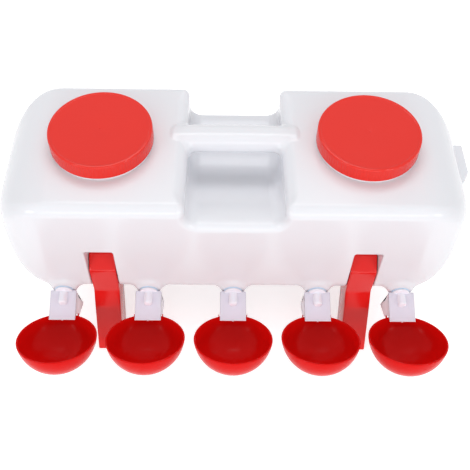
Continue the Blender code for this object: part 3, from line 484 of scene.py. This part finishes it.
def hollow(obj, cutters):
    """Cut bodies of (points, faces) out of an object."""
    for number, (points, faces) in enumerate(cutters):
        mesh = bpy.data.meshes.new(f"cutter {number}")
        mesh.from_pydata(((points + SHIFT) * MM).tolist(), [], faces)
        face_outward(mesh)
        tool = bpy.data.objects.new(mesh.name, mesh)
        bpy.context.scene.collection.objects.link(tool)
        modifier = obj.modifiers.new(mesh.name, "BOOLEAN")
        modifier.object = tool
        modifier.solver = "MANIFOLD"
        apply_modifiers(obj)
        bpy.data.objects.remove(tool)


def shade_by(obj, distance):
    """Give each point of an object the normal of the surface that it lies on."""
    flat = np.zeros(len(obj.data.vertices) * 3)
    obj.data.vertices.foreach_get("co", flat)
    slope = slope_of(distance, flat.reshape(-1, 3) / MM - SHIFT)
    slope /= np.linalg.norm(slope, axis=1)[:, None]
    obj.data.normals_split_custom_set_from_vertices(slope.tolist())


def plastic(name, colour, other, roughness, grain, grain_size, mottle_size, soft=0.0, gloss=0.5):
    """Moulded plastic: a colour that drifts to another over the mottle's size, a roughness that drifts
    with it, and a grain of a depth and a size, all sizes in millimetres. Soft is the share of light
    that scatters inside, and gloss the strength of reflections."""
    material = bpy.data.materials.new(name)
    material.use_nodes = True
    tree = material.node_tree
    shader = tree.nodes["Principled BSDF"]
    place = tree.nodes.new("ShaderNodeTexCoord")

    def noise(size, detail):
        """Noise of one size over the object's own coordinates."""
        node = tree.nodes.new("ShaderNodeTexNoise")
        node.inputs["Scale"].default_value = 1 / (size * MM)
        node.inputs["Detail"].default_value = detail
        tree.links.new(place.outputs["Object"], node.inputs["Vector"])
        return node.outputs["Fac"]

    drift = noise(mottle_size, DRIFT_DETAIL)
    mix = tree.nodes.new("ShaderNodeMix")
    mix.data_type = "RGBA"
    # A mix node takes its two colours in sockets 6 and 7 and gives their mixture from socket 2
    mix.inputs[6].default_value = (*colour, 1)
    mix.inputs[7].default_value = (*other, 1)
    tree.links.new(drift, mix.inputs[0])
    tree.links.new(mix.outputs[2], shader.inputs["Base Color"])
    spread = tree.nodes.new("ShaderNodeMapRange")
    spread.inputs["To Min"].default_value = roughness - ROUGHNESS_DRIFT
    spread.inputs["To Max"].default_value = roughness + ROUGHNESS_DRIFT
    tree.links.new(drift, spread.inputs["Value"])
    tree.links.new(spread.outputs["Result"], shader.inputs["Roughness"])
    bump = tree.nodes.new("ShaderNodeBump")
    bump.inputs["Distance"].default_value = grain * MM
    tree.links.new(noise(grain_size, GRAIN_DETAIL), bump.inputs["Height"])
    tree.links.new(bump.outputs["Normal"], shader.inputs["Normal"])
    shader.inputs["Specular IOR Level"].default_value = gloss
    if soft:
        shader.inputs["Subsurface Weight"].default_value = soft
        shader.inputs["Subsurface Radius"].default_value = SCATTER_RADIUS
        shader.inputs["Subsurface Scale"].default_value = SCATTER_SCALE
    return material


def steel():
    """Drawn stainless steel: the same drifting finish and fine grain, as a metal."""
    material = plastic("stainless steel", (0.62, 0.62, 0.63), (0.54, 0.54, 0.55), 0.3,
                       grain=0.01, grain_size=0.3, mottle_size=4)
    material.node_tree.nodes["Principled BSDF"].inputs["Metallic"].default_value = 1.0
    return material


WHITE_TANK = plastic("white polyethylene", (0.80, 0.805, 0.845), (0.785, 0.79, 0.83), 0.20,
                     grain=0.02, grain_size=1.2, mottle_size=60, soft=0.15, gloss=0.4)
RED_LID = plastic("lid red", (0.78, 0.026, 0.016), (0.75, 0.023, 0.014), 0.14,
                  grain=0.008, grain_size=0.8, mottle_size=30, gloss=0.3)
RED_CUP = plastic("cup red", (0.72, 0.005, 0.004), (0.67, 0.004, 0.003), 0.18,
                  grain=0.012, grain_size=0.5, mottle_size=20, gloss=0.08)
RED_STAND = plastic("stand red", (0.76, 0.014, 0.012), (0.72, 0.012, 0.010), 0.20,
                    grain=0.01, grain_size=0.8, mottle_size=30, gloss=0.3)
WHITE_VALVE = plastic("valve white", (0.80, 0.75, 0.86), (0.77, 0.73, 0.84), 0.2,
                      grain=0.01, grain_size=0.6, mottle_size=12, soft=0.25)
WHITE_TUBE = plastic("tube white", (0.90, 0.88, 0.96), (0.88, 0.86, 0.95), 0.2,
                     grain=0.01, grain_size=0.6, mottle_size=12, soft=0.2)
BLUE_RING = plastic("ring blue", (0.60, 0.74, 0.90), (0.56, 0.70, 0.88), 0.4,
                    grain=0.01, grain_size=0.5, mottle_size=8, soft=0.2)
LINER = plastic("liner foam", (0.86, 0.86, 0.84), (0.82, 0.82, 0.80), 0.8,
                grain=0.08, grain_size=0.6, mottle_size=10)
RUBBER = plastic("black rubber", (0.025, 0.025, 0.027), (0.035, 0.035, 0.035), 0.7,
                 grain=0.02, grain_size=0.4, mottle_size=5)
STEEL = steel()


def open_mouths(points, quads, radius):
    """Quads without those of the tank's top that lie inside a filler neck."""
    middle = points[quads].mean(1)
    off = np.hypot(np.abs(middle[:, 0]) - LID_X, middle[:, 1] - LID_Y)
    return quads[~((off < radius) & (middle[:, 2] > TOP - MOUTH_DEPTH))]


def build_shell():
    """Outside of the tank: a coarse net laid on the surface, split once and laid on it again, then
    thinned and shaded by the surface's own slope."""
    points, quads = net_surface(tank_distance, LATTICE_LOW, LATTICE_HIGH, OUTER_PITCH)
    points = lay_on_surface(tank_distance, points, quads, OUTER_ROUNDS)
    points, quads = refine(points, quads)
    points = lay_on_surface(tank_distance, points, quads, REFINED_ROUNDS)
    quads = open_mouths(points, quads, NECK_RADIUS - MOUTH_MARGIN)
    skin = [(points, quads.tolist())]
    tank = make("tank_shell", skin, WHITE_TANK, "tank", ["tank"], crease=0, as_given=True)
    thin(tank, KEPT_SHARE)
    shade_by(tank, tank_distance)


def build_inner_wall():
    """Inside of the tank, one wall's thickness in, its faces turned towards the hollow."""
    points, quads = net_surface(inner_distance, LATTICE_LOW, LATTICE_HIGH, INNER_PITCH)
    points = lay_on_surface(inner_distance, points, quads, INNER_ROUNDS)
    quads = open_mouths(points, quads, NECK_BORE)[:, ::-1]
    skin = [(points, quads.tolist())]
    make("tank_inner_wall", skin, WHITE_TANK, "tank", crease=0, as_given=True)


def build_necks():
    """The two filler necks: a tube on a shoulder, with a thread outside."""
    # Corners are (radius, height, rounding)
    profile = soften([
        (SHOULDER_RADIUS, TOP - 1.5, 0), (SHOULDER_RADIUS, SHOULDER_TOP, 0.9),
        (NECK_RADIUS, SHOULDER_TOP, 0.6), (NECK_RADIUS, NECK_TOP, 0.8),
        (NECK_BORE, NECK_TOP, 0.8), (NECK_BORE, TOP - WALL - 1, 0),
    ])
    parts = []
    for x in (-LID_X, LID_X):
        ridge = thread(NECK_RADIUS, NECK_THREAD_LOW, NECK_THREAD_HIGH, NECK_BULGE)
        parts += [moved(part, (x, LID_Y, 0)) for part in (turned(profile, NECK_STEPS), ridge)]
    make("tank_necks", parts, WHITE_TANK, "tank")


def build_lid(side, x):
    """Screw lid: a top with a raised rim and a gate mark, a knurled skirt and a thread inside. The
    knurl takes off the radius its depth times 1 less the size of a sine that swings once a rib."""
    inner = LID_RADIUS - LID_WALL
    face = LID_HIGH - LID_SUNK
    ceiling = LID_HIGH - LID_CEILING
    # Corners are (radius, height, rounding), from the gate mark over the rim and up the inside
    profile = soften([
        (0.0, face - GATE_DEPTH, 0), (0.7, face - GATE_DEPTH, 0.2), (1.1, face, 0.3),
        (30.0, face, 0), (RIM_START, face, 0.5), (RIM_TOP_START, LID_HIGH, 0.5),
        (LID_RADIUS - 0.4, LID_HIGH, 1.7), (LID_RADIUS - 0.1, LID_HIGH - 2.6, 0.4),
        (LID_RADIUS, LID_LOW, 0.6), (inner, LID_LOW, 0.3), (inner - 0.4, ceiling, 0.4),
        (0.0, ceiling, 0),
    ], steps=5)

    def knurl_depth(r, h):
        """Depth at a profile point, which fades at both ends of the skirt and is nothing inside."""
        low_end = smooth_step(h, LID_LOW + 0.4, LID_LOW + 1.2)
        high_end = smooth_step(LID_HIGH - h, 1.6, 2.8)
        return KNURL_DEPTH * low_end * high_end * (r > inner + 1)

    depth = np.array([knurl_depth(r, h) for r, h in profile])[:, None]

    def knurl(angle):
        """Change of radius at an angle."""
        return -depth * (1 - np.abs(np.sin(RIBS * angle / 2)))

    cap = turned(profile, RIBS * STEPS_PER_RIB, knurl)
    ridge = thread(inner, LID_THREAD_LOW, LID_THREAD_HIGH, LID_BULGE)
    parts = [moved(part, (x, LID_Y, 0)) for part in (cap, ridge)]
    lid = f"lid_{side}"
    make(f"lid_cap_{side}", parts, RED_LID, lid, [lid], crease=SOFT_CREASE)


def mirror_rear(outline):
    """The corners of a front half, turned into those of the rear half in the order that follows."""
    return [(-y, z, r) for y, z, r in reversed(outline)]


def build_stand(side, x):
    """Arch stand: a crossbar, two legs that rise in the sockets and two slanting feet, all hollow. The
    walls of a slanting part are as thick as the others: their width along y is the wall times the
    length of the slope's normal."""
    back, knee, toe = -FACE + SOCKET_BACK - STAND_GAP, -FACE - KNEE_OUT, -FACE - TOE_OUT
    under, sole_back = BOTTOM - STAND_GAP, toe + SOLE_LENGTH
    knee_z = BOTTOM - KNEE_DOWN
    slope = (knee - toe) / knee_z
    # Corners are (y, z, rounding) of the front half, from the leg's back over its toe to the crotch
    outline = [
        (back, under, 1), (back, BOTTOM + LEG_BACK_TOP, 2.5), (-FACE, BOTTOM + LEG_FACE_TOP, 4),
        (-FACE, BOTTOM + LEG_FACE_END, 8), (knee, knee_z, 8), (toe, 0, 1.5), (sole_back, 0, 1.5),
        (sole_back + slope * CROTCH_Z, CROTCH_Z, 4),
        (sole_back + slope * CROTCH_Z + CROTCH_IN, under - CROTCH_DOWN, 4),
    ]
    outer = soften(outline + mirror_rear(outline), closed=True, steps=5)
    parts = [prism(outer, STAND_HALF, x, edge=STAND_EDGE, steps=4)]
    arch = make(f"stand_arch_{side}", parts, RED_STAND, "tank", [f"stand_{side}"])

    web = STAND_WALL * math.hypot(1, slope)
    roof = under - STAND_WALL
    shin = KNEE_OUT / (LEG_FACE_END + KNEE_DOWN)
    channel = [
        (-FACE - shin * (BOTTOM + LEG_FACE_END - roof) + web, roof, 0), (knee + web, knee_z, 6),
        (toe + slope * SOLE_WALL + web, SOLE_WALL, 1),
    ]
    channel += mirror_rear(channel)
    rise = (LEG_BACK_TOP - LEG_FACE_TOP) / SOCKET_BACK
    ceiling = BOTTOM + LEG_FACE_TOP - STAND_WALL * math.hypot(1, rise)
    pocket = [
        (-FACE + STAND_WALL, BOTTOM, 0), (-FACE + STAND_WALL, ceiling + rise * STAND_WALL, 1),
        (-FACE + SOCKET_BACK + STAND_WALL, ceiling + rise * (SOCKET_BACK + STAND_WALL), 0),
        (-FACE + SOCKET_BACK + STAND_WALL, BOTTOM, 0),
    ]
    behind = [(-y, z, r) for y, z, r in pocket]
    shapes = [soften(corners, closed=True) for corners in (channel, pocket, behind)]
    hollow(arch, [prism(shape, STAND_HALF - STAND_WALL, x) for shape in shapes])
    arch.data.set_sharp_from_angle(angle=math.radians(CREASE))


def side_box(front, back, top, under, top_round, under_round):
    """Closed outline of a rectangle seen from the side, its upper and its lower corners rounded."""
    return soften([(front, top, top_round), (front, under, under_round),
                   (back, under, under_round), (back, top, top_round)], closed=True)


def build_hood(i, x, tip_y, tip_z):
    """Hood of a valve: a plate that falls forward to its tip, two cheeks that hold the cup's hinge and
    a back."""
    top, half = VALVE_Z + HOOD_RISE, HOOD_WIDTH / 2
    heel_y, heel_z = HINGE_Y + HEEL_BACK, HINGE_Z - HEEL_DOWN
    # Corners are (y, z, rounding)
    plate = [(HOOD_BACK, top, 0.5), (tip_y, tip_z, 0.8), (tip_y + 0.5, tip_z - HOOD_WALL, 0.7),
             (HOOD_BACK, top - HOOD_WALL, 0.3)]
    cheek = [(HOOD_BACK - 0.2, top - 0.8, 0.3), (tip_y + 1, tip_z - 0.8, 0.3),
             (HINGE_Y - 13.6, HINGE_Z + 5.5, 2), (HINGE_Y - 7.6, HINGE_Z - 9.2, 3),
             (heel_y, heel_z, 2), (HOOD_BACK - 0.1, HOOD_FOOT, 2)]
    back = [(HOOD_BACK, top - 1, 0.3), (HOOD_BACK - HOOD_WALL, top - 1, 0.3),
            (HOOD_BACK - HOOD_WALL, HOOD_FOOT + 0.5, 1), (heel_y - HOOD_WALL, heel_z + 0.2, 0.5),
            (heel_y, heel_z, 0.5), (HOOD_BACK, HOOD_FOOT, 1)]
    parts = [prism(soften(plate, closed=True), half, x, edge=0.8)]
    for side in (-1, 1):
        centre = x + side * (half - CHEEK_HALF)
        parts.append(prism(soften(cheek, closed=True), CHEEK_HALF, centre, edge=0.5))
    parts.append(prism(soften(back, closed=True), half - 0.2, x))
    make(f"valve_hood_{i}", parts, WHITE_VALVE, "tank", [f"valve_housing_{i}"])


def build_valve(i, x):
    """Valve: a hood, a spring tube with flange and stub, the bead and the nib at the hood's tip, and
    the ring between flange and boss."""
    tip_y, tip_z = HOOD_BACK - HOOD_REACH, VALVE_Z + HOOD_RISE - HOOD_FALL
    build_hood(i, x, tip_y, tip_z)

    # Corners are (radius, distance forward of the tank's middle, rounding)
    tube = soften([
        (0, -TUBE_END, 0), (TUBE_RADIUS, -TUBE_END, TUBE_ROUND), (TUBE_RADIUS, -FLANGE_FRONT, 0.4),
        (FLANGE_RADIUS, -FLANGE_FRONT, 0.8), (FLANGE_RADIUS, -FLANGE_BACK, 0.4),
        (STUB_RADIUS, -FLANGE_BACK, 0.2), (STUB_RADIUS, -SEAT_Y, 0.5), (SEAT_BORE, -SEAT_Y, 0.3),
    ])
    bead = side_box(tip_y - 0.1, tip_y + 0.9, tip_z + 0.1, tip_z - 0.9, 0.3, 0.3)
    nib = side_box(tip_y + 0.2, tip_y + 1.2, tip_z, tip_z - 3.0, 0.2, 0.4)
    parts = [forward(turned(tube, VALVE_STEPS), x), prism(bead, HOOD_WIDTH / 2, x, edge=0.3),
             prism(nib, 1.0, x, edge=0.3)]
    make(f"valve_tube_{i}", parts, WHITE_TUBE, "tank")

    ring = soften([
        (RING_BORE, -RING_FRONT, 0.4), (RING_RADIUS, -RING_FRONT, 0.5),
        (RING_RADIUS, -RING_BACK, 0.5), (RING_BORE, -RING_BACK, 0.4),
    ], closed=True)
    ring.append(ring[0])
    parts = [forward(turned(ring, VALVE_STEPS), x)]
    make(f"valve_ring_{i}", parts, BLUE_RING, "tank", [f"seal_ring_{i}"])


def sphere_arc(radius, start, end, count):
    """Profile points on a sphere's lower half, from one angle below its middle to another."""
    return [(radius * math.cos(a), -radius * math.sin(a)) for a in np.linspace(start, end, count)]


def bowl_profile():
    """Section of the bowl: two spheres about one middle, cut level at the rim, with a rounded lip. The
    rim's radius is the leg of a right triangle of the sphere's radius and the rim's drop."""
    inner = CUP_RADIUS - CUP_WALL
    outside = sphere_arc(CUP_RADIUS, RIM_ANGLE + RIM_MARGIN, math.pi / 2, 40)
    inside = sphere_arc(inner, math.pi / 2, math.asin(RIM_DROP / inner) + RIM_MARGIN, 38)
    rim = math.sqrt(CUP_RADIUS ** 2 - RIM_DROP ** 2)
    lip = soften([(*outside[0], 0), (rim, -RIM_DROP, RIM_ROUND), (rim - CUP_WALL, -RIM_DROP, RIM_ROUND),
                  (*inside[-1], 0)])
    return list(reversed(outside)) + lip[1:-1] + list(reversed(inside))


def lever_outline():
    """Lever that leans back from the hinge and ends a little above the valve's axis."""
    length = (VALVE_Z - HINGE_Z) / math.cos(LEVER_LEAN) + LEVER_OVER
    corners = []
    for side, rise in ((-1, 0), (1, 0), (1, length), (-1, length)):
        y = side * LEVER_HALF * math.cos(LEVER_LEAN) + rise * math.sin(LEVER_LEAN)
        z = HINGE_Z + rise * math.cos(LEVER_LEAN) - side * LEVER_HALF * math.sin(LEVER_LEAN)
        corners.append((HINGE_Y + y, z, 0.5))
    return soften(corners, closed=True)


def build_cup(i, x):
    """Cup: a tilted bowl, with arm, hub, lever and two ears behind."""
    parts = [moved(turned(bowl_profile(), BOWL_STEPS), (x, CUP_Y, CUP_Z), -BOWL_TILT)]
    behind = CUP_RADIUS - CUP_WALL / 2
    angles = [CUP_TILT + RIM_ANGLE + math.radians(a) for a in ARM_ANGLES]
    arm = [(HINGE_Y, HINGE_Z + ARM_HALF_HEIGHT)]
    arm += [(CUP_Y + behind * math.cos(a), CUP_Z - behind * math.sin(a)) for a in angles]
    arm.append((HINGE_Y, HINGE_Z - ARM_HALF_HEIGHT))
    parts.append(prism(arm, ARM_HALF_WIDTH, x, edge=0.8))
    parts.append(cross_stub(HUB_RADIUS, HUB_HALF, 0.5, HUB_STEPS, (x, HINGE_Y, HINGE_Z)))
    parts.append(prism(lever_outline(), LEVER_HALF_WIDTH, x, edge=0.4))
    for side in (-1, 1):
        at = (x + side * EAR_X, HINGE_Y - EAR_AHEAD, HINGE_Z + EAR_UP)
        parts.append(cross_stub(EAR_RADIUS, EAR_HALF, 0.3, EAR_STEPS, at))
    make(f"cup_bowl_{i}", parts, RED_CUP, f"cup_{i}", [f"cup_{i}"], crease=SOFT_CREASE)


build_shell()
build_inner_wall()
build_necks()
for side, x in (("left", -LID_X), ("right", LID_X)):
    build_lid(side, x)
for side, x in (("left", -STAND_X), ("right", STAND_X)):
    build_stand(side, x)
for number, x in enumerate(CUP_XS, start=1):
    build_valve(number, x)
    build_cup(number, x)

# Finishes of the solids that are shown as they are
NODE_FINISH = {"lid_liner": LINER, "valve_pin": WHITE_VALVE, "valve_seal": RUBBER,
               "return_spring": STEEL, "hinge_pin": STEEL}
for node_name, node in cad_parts.items():
    for start, material in NODE_FINISH.items():
        if node_name.startswith(start):
            node.data.materials.clear()
            node.data.materials.append(material)


def plain_view(tree):
    """1 for a ray that shows the background as such: to the camera, in a gloss or through a clear
    wall."""
    rays = tree.nodes.new("ShaderNodeLightPath")
    total = rays.outputs["Is Camera Ray"]
    for kind in ("Is Glossy Ray", "Is Transmission Ray"):
        most = tree.nodes.new("ShaderNodeMath")
        most.operation = "MAXIMUM"
        tree.links.new(total, most.inputs[0])
        tree.links.new(rays.outputs[kind], most.inputs[1])
        total = most.outputs[0]
    return total


def floor_material():
    """White floor that shows full white to the camera where it is lit, and keeps the shadow."""
    material = bpy.data.materials.new("pale floor")
    material.use_nodes = True
    tree = material.node_tree
    shader = tree.nodes["Principled BSDF"]
    shader.inputs["Base Color"].default_value = (FLOOR_GREY, FLOOR_GREY, FLOOR_GREY, 1)
    shader.inputs["Roughness"].default_value = FLOOR_ROUGHNESS
    glow = tree.nodes.new("ShaderNodeEmission")
    add = tree.nodes.new("ShaderNodeAddShader")
    seen = tree.nodes.new("ShaderNodeMath")
    seen.operation = "MULTIPLY"
    seen.inputs[1].default_value = FLOOR_GLOW
    tree.links.new(plain_view(tree), seen.inputs[0])
    tree.links.new(seen.outputs[0], glow.inputs["Strength"])
    tree.links.new(shader.outputs[0], add.inputs[0])
    tree.links.new(glow.outputs[0], add.inputs[1])
    tree.links.new(add.outputs[0], tree.nodes["Material Output"].inputs["Surface"])
    return material


def lay_floor():
    """Wide level floor under the drinker."""
    mesh = bpy.data.meshes.new("floor")
    corners = [(FLOOR_HALF * a, FLOOR_HALF * b, 0) for a, b in ((-1, -1), (1, -1), (1, 1), (-1, 1))]
    mesh.from_pydata(corners, [], [(0, 1, 2, 3)])
    floor = bpy.data.objects.new("floor", mesh)
    bpy.context.scene.collection.objects.link(floor)
    mesh.materials.append(floor_material())


def light_world():
    """White world that is seen at full strength and lights the drinker at a lower one."""
    world = bpy.data.worlds.new("studio")
    bpy.context.scene.world = world
    world.use_nodes = True
    tree = world.node_tree
    back = tree.nodes["Background"]
    back.inputs["Color"].default_value = (1, 1, 1, 1)
    level = tree.nodes.new("ShaderNodeMapRange")
    level.inputs["To Min"].default_value = WORLD_LIGHT
    level.inputs["To Max"].default_value = WORLD_SEEN
    tree.links.new(plain_view(tree), level.inputs["Value"])
    tree.links.new(level.outputs["Result"], back.inputs["Strength"])


def hang_lamps():
    """Softboxes that all face one place on the drinker's middle."""
    for name, place, width, height, power in LAMPS:
        lamp = bpy.data.lights.new(name, "AREA")
        lamp.shape = "RECTANGLE"
        lamp.size, lamp.size_y = width, height
        lamp.energy = power
        holder = bpy.data.objects.new(name, lamp)
        bpy.context.scene.collection.objects.link(holder)
        holder.location = place
        holder.rotation_mode = "QUATERNION"
        holder.rotation_quaternion = Vector(LAMP_AIM - np.array(place)).to_track_quat("-Z", "Y")


def set_camera():
    """Camera that sees the drinker as the photograph does: its lens is the focal length in pixels over
    the picture's width in pixels, times the sensor's width."""
    lens = bpy.data.cameras.new("camera")
    lens.sensor_width = SENSOR
    lens.lens = FOCAL_PIXELS / PICTURE_PIXELS * SENSOR
    lens.clip_start = NEAR_CLIP
    camera = bpy.data.objects.new("camera", lens)
    bpy.context.scene.collection.objects.link(camera)
    camera.location = CAMERA_PLACE
    camera.rotation_euler = [math.radians(a) for a in CAMERA_TURN]
    bpy.context.scene.camera = camera
    bpy.context.scene.view_settings.view_transform = "Standard"


lay_floor()
light_world()
hang_lamps()
set_camera()
